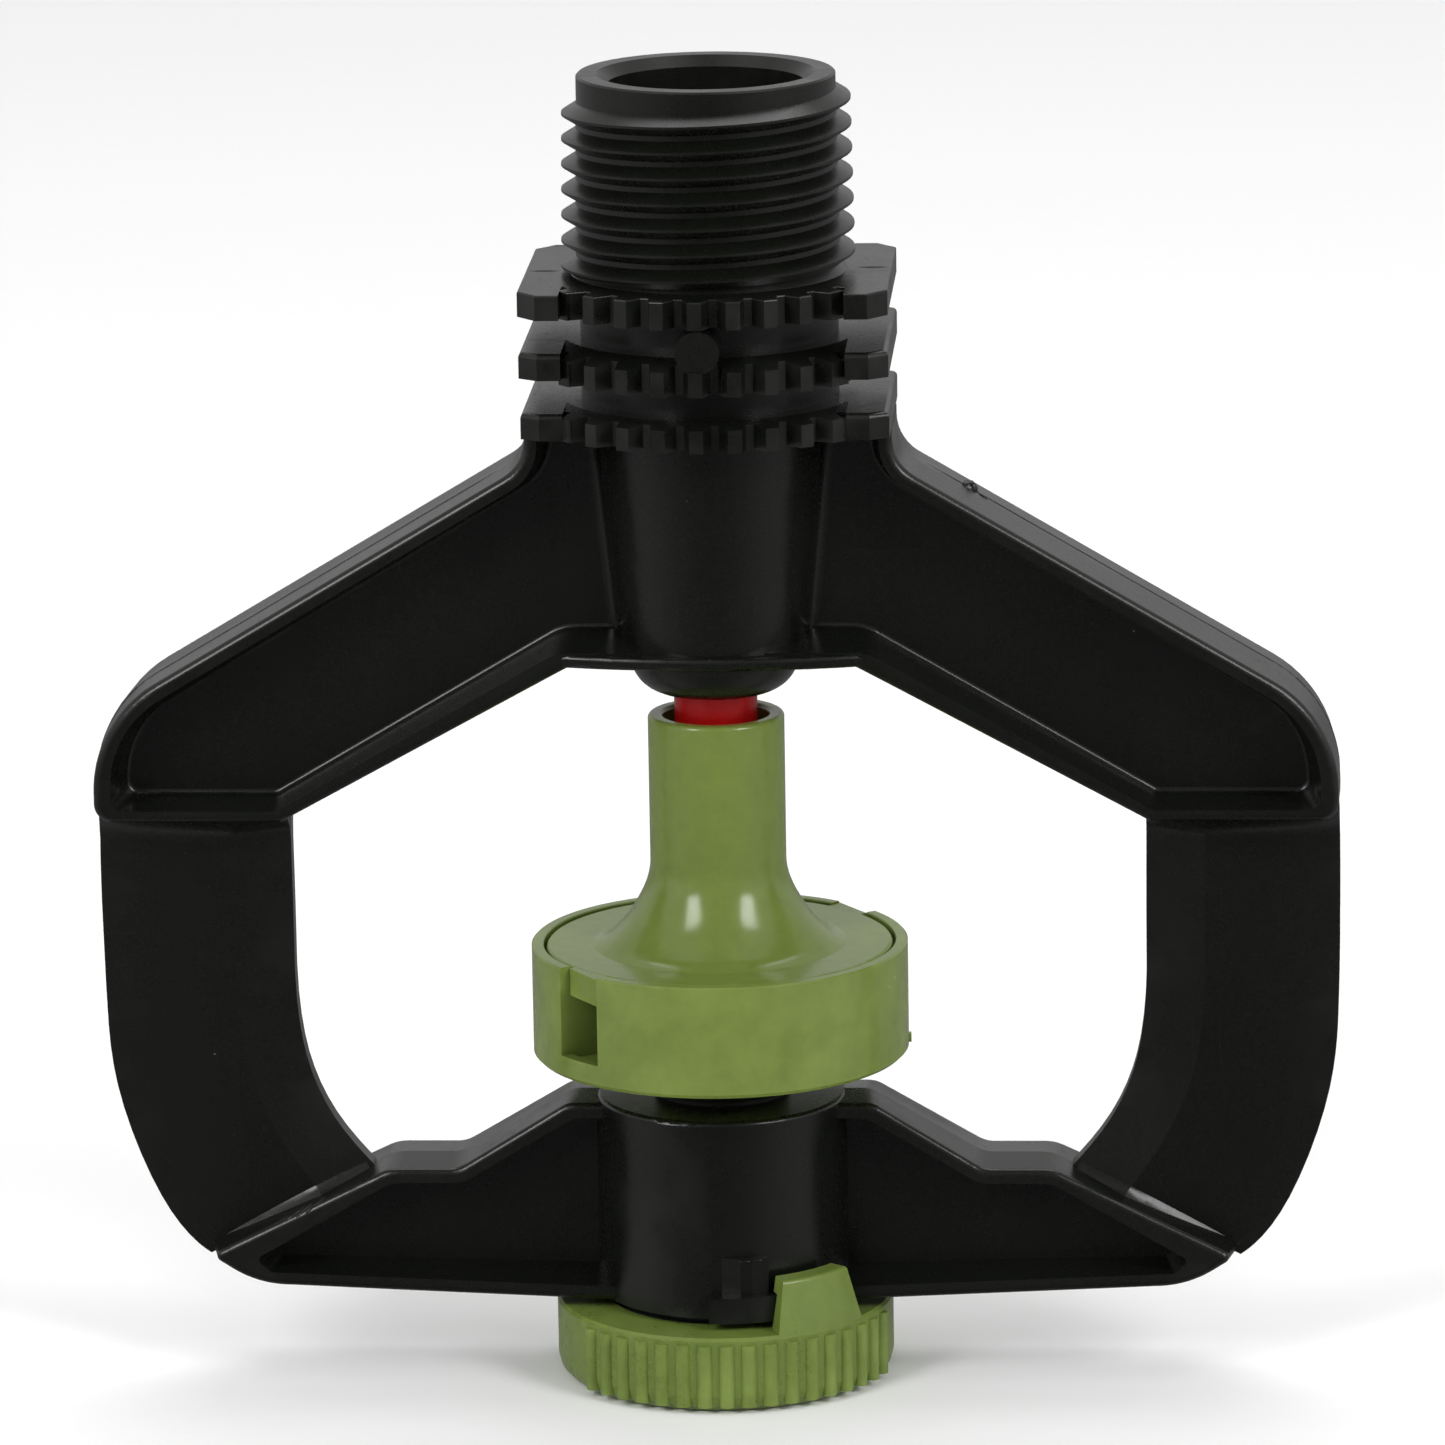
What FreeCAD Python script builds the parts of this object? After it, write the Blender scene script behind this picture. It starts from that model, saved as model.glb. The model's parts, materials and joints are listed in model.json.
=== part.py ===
"""Ball-driven bridge sprinkler with a male 1/2 inch pipe thread.

Frame: millimetres, +Z up along the water axis, X across the bridge, -Y is the
front of the sprinkler.  The origin is on the axis, in the plane of the flat
underside of the bottom cap, so the part stands on Z = 0.

Water comes in at the top through the threaded collar, leaves the red nozzle as
a vertical jet, drops into the funnel of the rotor and is turned out through two
side windows.  A captive steel ball runs round inside the rotor and strikes it
forward a few degrees at a time.  The rotor turns on a stainless spindle that is
carried in the hub at the bottom of the bridge.
"""
import FreeCAD, Part
import os
from math import sin, cos, tan, radians, pi, sqrt, atan2

V = FreeCAD.Vector
os.makedirs("parts", exist_ok=True)

# ------------------------------------------------------------ driving sizes
# threaded collar: 1/2 inch, 14 threads per inch, right hand
pitch = 25.4 / 14.0            # 1.814
collar_top = 95.5
collar_r = 9.2                 # plain lead above the thread
root_r_top = 9.2
crest_r_top = 10.22
taper = 0.0177                 # growth of the radius per mm downwards
thread_phase_z = 93.64         # a crest passes the +X side at this height
thread_low = 81.3
thread_high = 93.95
inlet_r = 7.0                  # inlet bore
inlet_chamfer_r = 7.75

# three grip flanges under the thread
# toothed disc bottom, wing bottom, top, wing y, corner y, dish, rounding of the wing's top edges
flange = [(79.35, 79.55, 81.35, 10.0, 8.35, 0.0, 0.15),
          (74.60, 75.10, 76.98, 9.2, 8.2, 0.62, 0.40),
          (70.60, 70.60, 72.48, 8.3, 7.5, 0.25, 0.40)]
flange_half = 13.02            # half width across the wing flats
wing_in = 10.0                 # wings start here
wing_face = 11.65              # end of the flat front facet of a wing
tooth_r = 13.0
tooth_root = 11.75
tooth_pitch = 12.0             # degrees
tooth_phase = -1.2             # degrees, first tooth from the front centre
tooth_tip, tooth_foot = 2.2, 4.6   # half angles of a tooth at its tip and at its foot
neck_r = 9.2
gate_r = 1.55
gate_z = 77.7
gate_x = -0.15

# upper hub
hub_r_top = 8.35               # round under the flanges
hub_x_low, hub_y_low = 6.75, 5.75   # half width and half depth at the bottom, oval
hub_low = 53.38
hub_plate_y, hub_plate_t = 6.3, 0.95    # plate under the hub that joins the arm rims
boss_r, boss_low, boss_tip_r = 6.07, 50.75, 3.6
nozzle_seat_r = 4.4

# upper arms (right hand one, mirrored)
ua_depth = 4.9                 # half depth front to back
web_half = 1.0                 # half thickness of the thin web
# legs
leg_half = 1.75                # thickest half thickness of the blade
leg_edge = 0.80
leg_crease = 4.2               # distance of the thickest line from the inner edge
# lower arms
la_depth_low, la_depth_high = 5.0, 3.4

# lower hub
lhub_r = 9.15
lhub_low, lhub_top = 6.2, 20.9
lhub_bore = 7.0
lhub_roof = 17.0               # underside of the hub's top wall
sleeve_r = 3.5
ledge_r, ledge_low, ledge_top = 10.45, 6.2, 8.1
ledge_a0, ledge_a1 = -3.2, 61.5
pad_r, pad_top = 9.8, 10.8
pad_a0, pad_a1 = 7.0, 22.0

# bottom cap
cap_r, cap_h = 12.27, 5.64
rib_h, rib_pitch, rib_n, rib_centre = 0.42, 7.5, 17, 11.0
lug_centre, lug_top, lug_half_low, lug_half_top = 39.5, 9.4, 18.0, 14.5
plug_r, plug_top = 6.85, 15.8
carrier_r = 8.6                # foot of the bearing carrier, pressed into the cap

# spindle
sp_r, sp_low, sp_top = 1.5, 9.5, 27.45
sp_flange_r, sp_flange_h = 3.6, 0.4
bearing_gap = 0.05
clip_r, clip_t = 2.8, 0.5
float_up = 0.8

# rotor
tube_r, tube_bore, tube_top = 4.92, 3.8, 49.0
disc_top, disc_low, disc_r = 32.0, 30.0, 12.56
cup_r, cup_in, cup_low, cup_floor, cup_top = 13.62, 12.75, 23.9, 25.0, 32.1
race_t = 0.25                  # hard ring that the ball runs on
win_a0, win_a1 = -53.9, -37.0  # side window, and one more half a turn on
win_low = 25.6
rotor_boss_r, rotor_boss_low = 5.0, 21.6
ball_r, ball_path = 2.3, 10.3

# nozzle
noz_head_r, noz_low, noz_seat, noz_top = 4.35, 47.2, 54.6, 63.0
noz_stem_r, noz_hole = 3.0, 1.6


# ------------------------------------------------------------ helpers
def rev(points, full=360.0):
    """Solid of revolution about Z from a closed (r, z) polygon."""
    pts = [V(r, 0, z) for r, z in points]
    face = Part.Face(Part.makePolygon(pts + [pts[0]]))
    return face.revolve(V(0, 0, 0), V(0, 0, 1), full)


def rev_wire(edges):
    face = Part.Face(Part.Wire(edges))
    return face.revolve(V(0, 0, 0), V(0, 0, 1), 360)


def line(a, b):
    return Part.LineSegment(a, b).toShape()


def cyl(r, z0, z1):
    return Part.makeCylinder(r, z1 - z0, V(0, 0, z0))


def tube(r0, r1, z0, z1):
    return cyl(r1, z0, z1).cut(cyl(r0, z0 - 1, z1 + 1))


def pol(r, a, z=0.0):
    """Point at radius r, angle a in degrees from the front (-Y) towards +X."""
    t = radians(a)
    return V(r * sin(t), -r * cos(t), z)


def sector(r0, r1, a0, a1, z0, z1):
    """Piece of a ring between two radii, two angles and two heights."""
    am = (a0 + a1) / 2.0
    e = [Part.Arc(pol(r1, a0, z0), pol(r1, am, z0), pol(r1, a1, z0)).toShape(),
         line(pol(r1, a1, z0), pol(r0, a1, z0)),
         Part.Arc(pol(r0, a1, z0), pol(r0, am, z0), pol(r0, a0, z0)).toShape(),
         line(pol(r0, a0, z0), pol(r1, a0, z0))]
    return Part.Face(Part.Wire(e)).extrude(V(0, 0, z1 - z0))


def prism(pts, y0, y1):
    w = Part.makePolygon([V(x, y0, z) for x, z in pts + [pts[0]]])
    return Part.Face(w).extrude(V(0, y1 - y0, 0))


def rounded(pts, radii, ylaw):
    """Closed wire of lines and arcs through (x, z) corners with corner radii.

    ylaw(z) gives the depth of a point, so the wire may lie in a leaning plane."""
    n = len(pts)
    tang = []
    for i in range(n):
        p, a, b = pts[i], pts[i - 1], pts[(i + 1) % n]
        r = radii[i]
        va = (a[0] - p[0], a[1] - p[1]); vb = (b[0] - p[0], b[1] - p[1])
        la = sqrt(va[0] ** 2 + va[1] ** 2); lb = sqrt(vb[0] ** 2 + vb[1] ** 2)
        ua = (va[0] / la, va[1] / la); ub = (vb[0] / lb, vb[1] / lb)
        c = max(-1.0, min(1.0, ua[0] * ub[0] + ua[1] * ub[1]))
        half = 0.5 * atan2(sqrt(1 - c * c), c)
        if r <= 0:
            tang.append((p, None, p)); continue
        t = r / tan(half)
        t1 = (p[0] + ua[0] * t, p[1] + ua[1] * t)
        t2 = (p[0] + ub[0] * t, p[1] + ub[1] * t)
        bis = (ua[0] + ub[0], ua[1] + ub[1]); lbz = sqrt(bis[0] ** 2 + bis[1] ** 2)
        d = r / sin(half)
        cen = (p[0] + bis[0] / lbz * d, p[1] + bis[1] / lbz * d)
        mid = (cen[0] - bis[0] / lbz * r, cen[1] - bis[1] / lbz * r)
        tang.append((t1, mid, t2))
    P = lambda q: V(q[0], ylaw(q[1]), q[1])
    edges = []
    for i in range(n):
        t1, mid, t2 = tang[i]
        if mid is not None:
            edges.append(Part.Arc(P(t1), P(mid), P(t2)).toShape())
        nxt = tang[(i + 1) % n][0]
        if sqrt((t2[0] - nxt[0]) ** 2 + (t2[1] - nxt[1]) ** 2) > 1e-6:
            edges.append(line(P(t2), P(nxt)))
    return Part.Wire(edges)


def try_fillet(shape, r, pick):
    """Round the chosen edges; where the kernel refuses, use a smaller radius."""
    for k in (1.0, 0.8, 0.6, 0.4, 0.25):
        try:
            e = [x for x in shape.Edges if pick(x)]
            s = shape.makeFillet(r * k, e)
            if s.isValid() and s.Volume > 0.5 * shape.Volume:
                return s
        except Exception:
            pass
    print("fillet refused", r)
    return shape


def ends(e):
    return [v.Point for v in e.Vertexes]


def save(name, shape):
    shape = shape.removeSplitter() if len(shape.Solids) == 1 else shape
    bb = shape.BoundBox
    print("%-22s solids %d valid %s vol %9.2f  x %.2f..%.2f y %.2f..%.2f z %.2f..%.2f" % (
        name, len(shape.Solids), shape.isValid(), shape.Volume,
        bb.XMin, bb.XMax, bb.YMin, bb.YMax, bb.ZMin, bb.ZMax))
    shape.exportStep("parts/%s.step" % name)


MX = V(1, 0, 0)
MY = V(0, 1, 0)
O = V(0, 0, 0)

# ------------------------------------------------------------ upper arm, right front quarter
ua0 = [(0, 70.62), (13.25, 70.62), (13.25, 68.28), (44.80, 49.60), (44.80, 41.90),
       (31.1, 41.90), (9.8, 53.45), (0, 53.45)]
ra0 = [0, 0, 3.2, 9.5, 1.3, 0, 3.0, 0]
ua1 = [(0, 70.62), (13.05, 70.62), (13.05, 68.12), (44.62, 49.45), (44.62, 42.02),
       (31.15, 42.02), (9.85, 53.60), (0, 53.60)]
ra1 = [0, 0, 3.3, 9.4, 1.3, 0, 3.0, 0]
w0 = rounded(ua0, ra0, lambda z: 0.0)
w1 = rounded(ua1, ra1, lambda z: -ua_depth)
quarter = Part.makeLoft([w0, w1], True, True)
on_front = lambda e: all(abs(p.y + ua_depth) < 1e-4 for p in ends(e)) and \
    not all(p.x < 0.01 for p in ends(e)) and not all(p.z > 70.5 for p in ends(e))
quarter = try_fillet(quarter, 0.55, on_front)
# recess between the rims: its mouth at the front face and its floor on the web
m0 = [(-1, 70.62), (12.15, 70.62), (12.15, 67.45), (43.38, 48.88), (43.38, 42.88),
      (31.4, 42.88), (11.1, 54.46), (-1, 54.46)]
mr0 = [0, 0, 3.8, 8.0, 0.95, 1.0, 3.6, 0]
m1 = [(-1, 70.62), (11.65, 70.62), (11.65, 67.02), (42.62, 48.45), (42.62, 43.25),
      (31.7, 43.25), (10.8, 55.5), (-1, 55.5)]
mr1 = [0, 0, 4.2, 7.0, 0.95, 0.9, 3.8, 0]
k = 0.6 / (ua_depth - web_half)
out = lambda a, b: [(p[0] + (p[0] - q[0]) * k, p[1] + (p[1] - q[1]) * k) for p, q in zip(a, b)]
mo = out(m0, m1)
mo = [(-1, 70.62), (mo[1][0], 70.62)] + mo[2:7] + [(-1, mo[7][1])]
cut_w = [rounded(mo, mr0, lambda z: -ua_depth - 0.6), rounded(m1, mr1, lambda z: -web_half)]
recess = Part.makeLoft(cut_w, True, True)
# the web runs into the rims with a small radius
web_edge = lambda e: all(abs(p.y + web_half) < 1e-4 for p in ends(e)) and all(p.x > 0 for p in ends(e)) and \
    not all(p.z > 70.5 for p in ends(e))
web_loop = lambda e: all(abs(p.y + web_half) < 1e-4 for p in ends(e)) and \
    not all(p.z > 70.5 for p in ends(e)) and not all(p.x < 0 for p in ends(e))
recess = try_fillet(recess, 0.4, web_loop)
quarter = quarter.cut(recess)
mouth = lambda e: all(abs(p.y + ua_depth) < 1e-3 for p in ends(e)) and \
    all(p.x > 9.0 for p in ends(e)) and all(p.z < 70.5 for p in ends(e))
inner = lambda e: mouth(e) and all(p.x < 43.9 for p in ends(e))
upper_q = quarter
upper_r = upper_q.fuse(upper_q.mirror(O, MY))

# ------------------------------------------------------------ leg, right: a thin blade edge-on to the water
inner_pts = [(30.86, 42.3), (30.86, 38.0), (30.86, 33.5), (30.83, 29.0), (30.6, 26.0), (30.0, 22.9),
             (28.87, 20.0), (27.22, 17.4), (25.35, 15.2)]
outer_pts = [(44.74, 42.3), (44.80, 38.0), (44.78, 33.5), (44.70, 28.8), (44.58, 25.2), (44.15, 21.6),
             (43.15, 17.8), (41.22, 13.05), (37.6, 8.55)]


def blade(pi_, po_, crease=leg_crease, half=leg_half, edge=leg_edge):
    """Lens-shaped section between the inner and the outer edge of a leg."""
    a = V(pi_[0], 0, pi_[1]); b = V(po_[0], 0, po_[1])
    d = b.sub(a); w = d.Length; d.normalize()
    p = lambda s, t: a.add(V(d.x * s, -t, d.z * s))
    s1 = w * 0.62
    f1, f2 = p(0.0, edge), p(w, edge * 0.9)
    g1, g2 = p(0.0, -edge), p(w, -edge * 0.9)
    m = edge * 0.9 + (half - edge * 0.9) * 0.72
    e = [line(g1, f1),
         line(f1, p(crease, half)),
         Part.Arc(p(crease, half), p(s1, m), f2).toShape(),
         line(f2, g2),
         Part.Arc(g2, p(s1, -m), p(crease, -half)).toShape(),
         line(p(crease, -half), g1)]
    return Part.Wire(e)


secs = [blade(i, o) for i, o in zip(inner_pts, outer_pts)]
leg = Part.makeLoft(secs, True, False)
# the rim rolls softly down on to the blade
roll = Part.makeLoft([blade((30.95, 42.2), (44.60, 42.2), 3.6, 4.35, 2.6),
                      blade((30.92, 41.5), (44.68, 41.5), 3.9, 3.15, 1.8),
                      blade((30.90, 40.8), (44.74, 40.8), 4.1, 2.3, 1.2),
                      blade((30.87, 39.8), (44.77, 39.8), 4.2, 1.76, 0.81)], True, False)
# and the foot of the blade swells on to the lower arm
def foot_at(d, half, edge):
    return blade((25.66 + 0.646 * d, 15.04 + 0.763 * d), (37.15 + 0.644 * d, 9.0 + 0.765 * d), 3.85, half, edge)


foot = Part.makeLoft([foot_at(-0.25, 3.2, 1.5), foot_at(0.2, 2.45, 1.15), foot_at(0.6, 1.98, 0.9), foot_at(1.05, 1.72, 0.76)],
                     True, False)

# ------------------------------------------------------------ lower arm, right front quarter
ylow = lambda z: -(la_depth_low + (z - 6.3) * (la_depth_high - la_depth_low) / (20.6 - 6.3))
la0 = [(0, 20.9), (10.85, 20.9), (19.05, 16.10), (23.9, 16.10), (38.0, 9.35), (34.8, 6.96), (0, 5.80)]
lr0 = [0, 2.2, 2.4, 3.0, 0.45, 8.0, 0]
la1 = [(0, 20.62), (11.1, 20.62), (19.05, 15.82), (24.1, 15.82), (37.2, 9.50), (33.8, 7.42), (0, 5.90)]
lr1 = [0, 2.0, 2.4, 3.0, 0.5, 8.0, 0]
lw0 = rounded(la0, lr0, lambda z: 0.0)
lw1 = rounded(la1, lr1, ylow)
lq = Part.makeLoft([lw0, lw1], True, True)
lfront = lambda e: all(abs(p.y - ylow(p.z)) < 1e-3 for p in ends(e)) and \
    not all(p.x < 0.01 for p in ends(e))
lq = try_fillet(lq, 0.45, lfront)
lm0 = [(-1, 19.60), (10.6, 19.60), (18.75, 14.85), (23.95, 14.85), (33.9, 9.25), (32.8, 8.3), (-1, 6.92)]
lmr0 = [0, 2.0, 2.2, 2.6, 0.35, 0.5, 0]
lm1 = [(-1, 19.30), (10.5, 19.30), (18.6, 14.50), (23.8, 14.50), (33.1, 9.10), (32.2, 8.5), (-1, 7.75)]
lmr1 = [0, 2.0, 2.2, 2.6, 0.3, 0.35, 0]
yweb = lambda z: -web_half
k2 = 0.25
lmo = [(p[0] + (p[0] - q[0]) * k2, p[1] + (p[1] - q[1]) * k2) for p, q in zip(lm0, lm1)]
lmo[0] = (-1, lmo[0][1]); lmo[6] = (-1, lmo[6][1])
ymouth = lambda z: ylow(z) + (ylow(z) + web_half) * k2
lrec = Part.makeLoft([rounded(lmo, lmr0, ymouth), rounded(lm1, lmr1, yweb)], True, True)
lower_q = lq.cut(lrec)
lower_r = lower_q.fuse(lower_q.mirror(O, MY))

# ------------------------------------------------------------ hubs, collar, flanges
hub_top_w = Part.Wire([Part.Circle(V(0, 0, 70.7), V(0, 0, 1), hub_r_top).toShape()])
hub_low_w = Part.Wire([Part.Ellipse(V(0, 0, hub_low), hub_x_low, hub_y_low).toShape()])
hub = Part.makeLoft([hub_low_w, hub_top_w], True, True)
# the web meets the hub with a soft radius
hub = hub.fuse(Part.makeBox(23.2, 2 * web_half, 15.2, V(-11.6, -web_half, 55.0)))
hub = try_fillet(hub, 0.9, lambda e: e.Length > 12 and all(abs(abs(p.y) - web_half) < 0.02 and 6.0 < abs(p.x) < 9.0 for p in ends(e)))
pf = [Part.Arc(V(-10.9, -ua_depth + 0.05, hub_low), V(0, -hub_plate_y, hub_low), V(10.9, -ua_depth + 0.05, hub_low)).toShape(),
      line(V(10.9, -ua_depth + 0.05, hub_low), V(10.9, ua_depth - 0.05, hub_low)),
      Part.Arc(V(10.9, ua_depth - 0.05, hub_low), V(0, hub_plate_y, hub_low), V(-10.9, ua_depth - 0.05, hub_low)).toShape(),
      line(V(-10.9, ua_depth - 0.05, hub_low), V(-10.9, -ua_depth + 0.05, hub_low))]
ring = Part.Face(Part.Wire(pf)).extrude(V(0, 0, hub_plate_t))
ring = try_fillet(ring, 0.35, lambda e: abs(ends(e)[0].z - ends(e)[1].z) < 1e-6 and e.Length > 15)
# rounded boss that the nozzle comes out of
be = [line(V(0, 0, boss_low), V(boss_tip_r, 0, boss_low)),
      Part.Arc(V(boss_tip_r, 0, boss_low), V(5.32, 0, boss_low + 0.78), V(boss_r, 0, boss_low + 2.35)).toShape(),
      line(V(boss_r, 0, boss_low + 2.35), V(boss_r, 0, hub_low + 0.4)),
      line(V(boss_r, 0, hub_low + 0.4), V(0, 0, hub_low + 0.4)),
      line(V(0, 0, hub_low + 0.4), V(0, 0, boss_low))]
boss = rev_wire(be)

neck = cyl(neck_r, 70.5, 82.2)


def toothed(z0, z1, dish):
    """Toothed disc; a dished one has its top falling away towards the teeth."""
    pts = []
    n = int(round(360 / tooth_pitch))
    for i in range(n):
        a = tooth_phase + i * tooth_pitch
        pts += [pol(tooth_root, a - tooth_foot, z0), pol(tooth_r, a - tooth_tip, z0),
                pol(tooth_r, a + tooth_tip, z0), pol(tooth_root, a + tooth_foot, z0)]
    disc = Part.Face(Part.makePolygon(pts + [pts[0]])).extrude(V(0, 0, z1 - z0))
    if dish == 0:
        disc = try_fillet(disc, 0.12, lambda e: all(abs(p.z - z1) < 1e-6 for p in ends(e)))
    if dish > 0:
        disc = disc.common(rev([(0, z0 - 1), (15, z0 - 1), (15, z1 - dish * (15 - 10.6) / (13 - 10.6)),
                                (10.6, z1), (0, z1)]))
    return disc


frame = hub
for d0, z0, z1, wy, cy, dish, soft in flange:
    disc = toothed(d0, z1, dish)
    # the teeth are on the front and back only
    keep = Part.makeBox(2 * (wing_in + 0.3), 30, 10, V(-wing_in - 0.3, -15, z0 - 4))
    plate = disc.common(keep)
    # the gap between the last tooth and the wing is closed
    infill = [sector(9.0, tooth_r - 0.03, a, b, d0, z1 - dish * 0.95 - 0.1) for a, b in
              ((45.5, 52.0), (-52.0, -46.5), (128.0, 134.5), (-133.5, -128.0))]
    wing = [(wing_in - 2.2, -wy), (wing_face, -wy), (flange_half, -cy), (flange_half, cy),
            (wing_face, wy), (wing_in - 2.2, wy)]
    w = Part.makePolygon([V(x, y, z0) for x, y in wing + [wing[0]]])
    wing_s = Part.Face(w).extrude(V(0, 0, z1 - z0))
    wing_s = wing_s.cut(Part.makeBox(4, 40, 10, V(wing_in - 4, -20, z0 - 4)))
    wing_s = try_fillet(wing_s, soft, lambda e: all(abs(p.z - z1) < 1e-6 for p in ends(e)) and
                        not all(p.x < wing_in + 0.01 for p in ends(e)))
    frame = frame.fuse([plate, wing_s, wing_s.mirror(O, MX)] + infill)
# gate stub on the front of the neck
gate = Part.makeCylinder(gate_r, 4.4, V(gate_x, -8.4, gate_z), V(0, -1, 0))
fillet_foot = rev([(0, 81.3), (9.9, 81.3), (9.25, 82.1), (0, 82.1)])
core_low_r = root_r_top + taper * (collar_top - 81.4)
core = rev([(0, 81.0), (core_low_r, 81.0), (root_r_top + taper * 2.0, 93.5), (collar_r, 93.6), (collar_r, collar_top - 0.14),
            (collar_r - 0.14, collar_top), (0, collar_top)])

frame = frame.fuse([neck, gate, fillet_foot, core, ring, boss])
arms = [upper_r, upper_r.mirror(O, MX), leg, leg.mirror(O, MX), roll, roll.mirror(O, MX),
        foot, foot.mirror(O, MX),
        lower_r, lower_r.mirror(O, MX)]
lhub = cyl(lhub_r, lhub_low, lhub_top)
lhub = try_fillet(lhub, 0.35, lambda e: all(abs(p.z - lhub_top) < 1e-6 for p in ends(e)) and e.Length > 20)
ledges = []
for turn in (0, 180):
    ledges.append(sector(lhub_r - 1, ledge_r, ledge_a0 + turn, ledge_a1 + turn, ledge_low, ledge_top))
    # snap ramp: rises towards the lug, then drops off square
    pe = []
    ramp = Part.Face(Part.makePolygon([pol(lhub_r - 0.8, pad_a0 - 5 + turn, ledge_low), pol(lhub_r + 0.02, pad_a0 - 5 + turn, ledge_low),
                                       pol(pad_r - 0.08, pad_a0 + 3 + turn, ledge_low), pol(pad_r, pad_a0 + 8 + turn, ledge_low),
                                       pol(pad_r, pad_a1 + turn, ledge_low),
                                       pol(lhub_r - 0.8, pad_a1 + turn, ledge_low), pol(lhub_r - 0.8, pad_a0 - 5 + turn, ledge_low)]))
    ledges.append(ramp.extrude(V(0, 0, pad_top - ledge_low)))
frame = frame.fuse(arms + [lhub] + ledges)

# thread ridge
def thread_ridge():
    z_top = thread_high
    turns = (z_top - thread_low) / pitch
    h = turns * pitch
    a_bot = 360.0 * (thread_low - thread_phase_z) / pitch      # angle from +X of the crest at the start
    r_bot = root_r_top + taper * (collar_top - thread_low) - 0.12
    r_top = root_r_top + taper * (collar_top - z_top) - 0.12
    hel = Part.makeHelix(pitch, h, r_bot, -taper and 0)
    cone = -atan2(r_bot - r_top, h) * 180 / pi
    hel = Part.makeLongHelix(pitch, h, r_bot, cone, False) if hasattr(Part, "makeLongHelix") else hel
    crest_h = (crest_r_top - root_r_top) + 0.12
    prof = Part.makePolygon([V(r_bot, 0, -0.80), V(r_bot + crest_h, 0, -0.09), V(r_bot + crest_h, 0, 0.09),
                             V(r_bot, 0, 0.80), V(r_bot, 0, -0.80)])
    ridge = Part.Wire(hel.Edges).makePipeShell([prof], True, True)
    ridge.rotate(O, V(0, 0, 1), a_bot)
    ridge.translate(V(0, 0, thread_low))
    return ridge


ridge = thread_ridge()
print("ridge", ridge.isValid(), ridge.Volume, len(ridge.Solids))
ridge = ridge.Solids[0] if ridge.Solids else Part.Solid(Part.Shell(ridge.Faces))
frame = frame.fuse(ridge)

# bores
inlet = rev([(0, 100), (inlet_chamfer_r + 4.5, 100), (inlet_chamfer_r, collar_top), (inlet_r, collar_top - 0.75), (inlet_r, 73.0),
             (nozzle_seat_r, 66.0), (nozzle_seat_r, noz_seat), (noz_stem_r + 0.05, noz_seat), (noz_stem_r + 0.05, 40), (0, 40)])
frame = frame.cut(inlet)
lbore = rev([(0, 0), (lhub_bore + 0.4, 0), (lhub_bore + 0.4, lhub_low), (lhub_bore, lhub_low + 0.4), (lhub_bore, lhub_roof),
             (sleeve_r, lhub_roof), (sleeve_r, 23.0), (0, 23.0)])
frame = frame.cut(lbore)
if len(frame.Solids) > 1:
    print("frame solids", [round(s.Volume, 3) for s in frame.Solids])
save("bridge_frame", frame)

# ------------------------------------------------------------ nozzle and its seal
groove_r, groove_z0, groove_z1 = 3.4, 58.0, 59.3
noz = rev([(noz_hole, noz_low), (noz_stem_r - 0.25, noz_low), (noz_stem_r, noz_low + 0.25), (noz_stem_r, noz_seat),
           (noz_head_r, noz_seat), (noz_head_r, groove_z0), (groove_r, groove_z0), (groove_r, groove_z1),
           (noz_head_r, groove_z1), (noz_head_r, noz_top), (3.7, noz_top), (noz_hole, 56.0)])
save("nozzle", noz)
oring = Part.makeTorus(3.9, 0.5, V(0, 0, (groove_z0 + groove_z1) / 2.0))
save("nozzle_o_ring", oring)

# ------------------------------------------------------------ bearings, spindle, clips, washers
sleeve = rev([(sp_r + bearing_gap, 15.8), (6.0, 15.8), (6.0, lhub_roof), (sleeve_r, lhub_roof), (sleeve_r, lhub_top - 0.3),
              (sleeve_r - 0.3, lhub_top), (sp_r + bearing_gap, lhub_top)])
save("upper_bearing_sleeve", sleeve)

g = 1.1
z_lo1, z_lo0 = 15.8 - float_up, 15.8 - float_up - clip_t
z_hi0 = 26.15
z_hi1 = z_hi0 + clip_t
spindle = rev([(0, sp_low), (sp_r - 0.3, sp_low), (sp_r, sp_low + 0.3), (sp_r, z_lo0), (g, z_lo0), (g, z_lo1), (sp_r, z_lo1),
               (sp_r, lhub_top), (sp_flange_r, lhub_top), (sp_flange_r, lhub_top + sp_flange_h), (sp_r, lhub_top + sp_flange_h),
               (sp_r, z_hi0), (g, z_hi0), (g, z_hi1), (sp_r, z_hi1), (sp_r, sp_top - 0.3), (sp_r - 0.3, sp_top), (0, sp_top)])
save("spindle", spindle)


def eclip(z0):
    c = tube(g, clip_r, z0, z0 + clip_t)
    c = c.cut(Part.makeBox(1.8, 4, 2, V(-0.9, -4, z0 - 1)))
    c = c.cut(Part.makeCylinder(0.55, 3, V(2.0, 1.1, z0 - 1)))
    return c.cut(Part.makeCylinder(0.55, 3, V(-2.0, 1.1, z0 - 1)))


clips = Part.makeCompound([eclip(z_lo0), eclip(z_hi0)])
save("retaining_clips", clips)
washer_z0 = lhub_top + sp_flange_h
washer = tube(sp_r + bearing_gap, 3.4, washer_z0, washer_z0 + 0.3)
save("thrust_washer", washer)
seal = rev([(3.85, lhub_top), (5.0, lhub_top), (5.0, lhub_top + 0.25), (4.45, lhub_top + 0.5), (3.85, lhub_top + 0.5)])
save("dust_seal", seal)

# ------------------------------------------------------------ rotor
bush_r = 3.0
rbush = tube(sp_r + bearing_gap, bush_r, rotor_boss_low, 26.0)
save("rotor_bush", rbush)

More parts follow.
